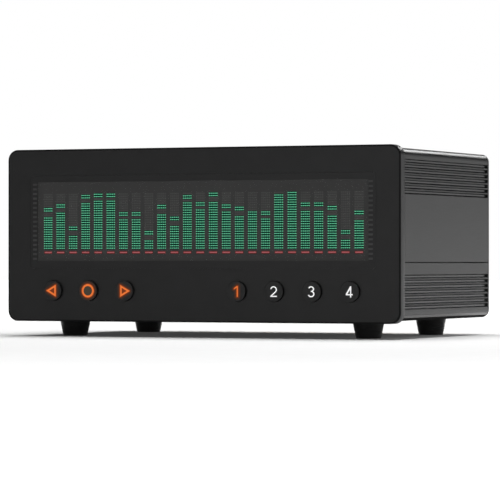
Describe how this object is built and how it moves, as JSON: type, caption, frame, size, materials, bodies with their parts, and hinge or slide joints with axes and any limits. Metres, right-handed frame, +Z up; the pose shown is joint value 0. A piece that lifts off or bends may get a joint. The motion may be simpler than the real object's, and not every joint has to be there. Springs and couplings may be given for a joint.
{
  "type": "audio source selector",
  "caption": "Low box-shaped audio source selector on round feet, with a flush dot display showing a spectrum, lit push buttons below it and phono jacks behind.",
  "frame": {"origin": "on the table under the feet, at the middle of the part's footprint", "axes": "+X to the right seen from the front and along the longest side, +Y from the front panel to the jacks, +Z up"},
  "size_m": [0.16, 0.1072, 0.0705],
  "materials": {
    "panel_black": "black anodised, fine bead-blasted satin",
    "case_black": "black anodised extrusion, satin with faint die lines",
    "rear_black": "black anodised plate, matt",
    "smoked_window": "smoked acrylic, satin face",
    "display_glass": "dark display glass with lit green and red dots",
    "cap_black": "matt black moulded",
    "legend_orange": "translucent, lit orange",
    "legend_white": "translucent, lit white",
    "plunger_white": "moulded",
    "switch_black": "moulded",
    "lamp_clear": "clear lamp body",
    "board_green": "green solder mask over glass-fibre board",
    "foam_pad": "closed-cell foam tape",
    "bright_steel": "plated",
    "black_steel": "black oxide",
    "foot_black": "glossy black moulded",
    "relay_amber": "moulded",
    "capacitor_blue": "shrink sleeve",
    "ribbon_grey": "flat flexible cable",
    "socket_cream": "moulded",
    "jack_black": "moulded",
    "jack_gold": "gold plated, polished",
    "ring_white": "moulded",
    "ring_red": "moulded"
  },
  "bodies": {
    "case": {"front_panel": "panel_black", "display_window": "smoked_window", "display_glass": "display_glass", "display_leads": "bright_steel", "display_pad": "foam_pad", "front_board": "board_green", "board_spacers": "bright_steel", "board_screws": "bright_steel", "switch_bodies": "switch_black", "switch_domes": "bright_steel", "button_lamps": "lamp_clear", "upper_case": "case_black", "lower_case": "case_black", "rear_panel": "rear_black", "tie_screws": "black_steel", "foot_front_left": "foot_black", "foot_front_right": "foot_black", "foot_rear_left": "foot_black", "foot_rear_right": "foot_black", "foot_screws": "bright_steel", "main_board": "board_green", "relays": "relay_amber", "capacitors": "capacitor_blue", "controller_chip": "switch_black", "ribbon_cable": "ribbon_grey", "ribbon_sockets": "socket_cream", "input_jack_1": "jack_black", "input_jack_2": "jack_black", "input_jack_3": "jack_black", "input_jack_4": "jack_black", "output_jack": "jack_black", "jack_sleeves": "jack_gold", "left_channel_rings": "ring_white", "right_channel_rings": "ring_red", "jack_contacts": "jack_gold", "jack_screws": "black_steel", "power_jack": "jack_black", "power_jack_pin": "bright_steel"},
    "button_left_arrow": {"cap_left_arrow": "cap_black", "legend_left_arrow": "legend_orange", "plunger_left_arrow": "plunger_white"},
    "button_ring": {"cap_ring": "cap_black", "legend_ring": "legend_orange", "plunger_ring": "plunger_white"},
    "button_right_arrow": {"cap_right_arrow": "cap_black", "legend_right_arrow": "legend_orange", "plunger_right_arrow": "plunger_white"},
    "button_1": {"cap_1": "cap_black", "legend_1": "legend_orange", "plunger_1": "plunger_white"},
    "button_2": {"cap_2": "cap_black", "legend_2": "legend_white", "plunger_2": "plunger_white"},
    "button_3": {"cap_3": "cap_black", "legend_3": "legend_white", "plunger_3": "plunger_white"},
    "button_4": {"cap_4": "cap_black", "legend_4": "legend_white", "plunger_4": "plunger_white"}
  },
  "joints": [
    {"name": "press_left_arrow", "type": "slide", "parent": "case", "child": "button_left_arrow", "axis": [0, 1, 0], "range_m": [0, 0.0005], "stiffness_N_per_m": 3000, "deforming": ["switch_domes"]},
    {"name": "press_ring", "type": "slide", "parent": "case", "child": "button_ring", "axis": [0, 1, 0], "range_m": [0, 0.0005], "stiffness_N_per_m": 3000, "deforming": ["switch_domes"]},
    {"name": "press_right_arrow", "type": "slide", "parent": "case", "child": "button_right_arrow", "axis": [0, 1, 0], "range_m": [0, 0.0005], "stiffness_N_per_m": 3000, "deforming": ["switch_domes"]},
    {"name": "press_1", "type": "slide", "parent": "case", "child": "button_1", "axis": [0, 1, 0], "range_m": [0, 0.0005], "stiffness_N_per_m": 3000, "deforming": ["switch_domes"]},
    {"name": "press_2", "type": "slide", "parent": "case", "child": "button_2", "axis": [0, 1, 0], "range_m": [0, 0.0005], "stiffness_N_per_m": 3000, "deforming": ["switch_domes"]},
    {"name": "press_3", "type": "slide", "parent": "case", "child": "button_3", "axis": [0, 1, 0], "range_m": [0, 0.0005], "stiffness_N_per_m": 3000, "deforming": ["switch_domes"]},
    {"name": "press_4", "type": "slide", "parent": "case", "child": "button_4", "axis": [0, 1, 0], "range_m": [0, 0.0005], "stiffness_N_per_m": 3000, "deforming": ["switch_domes"]}
  ]
}
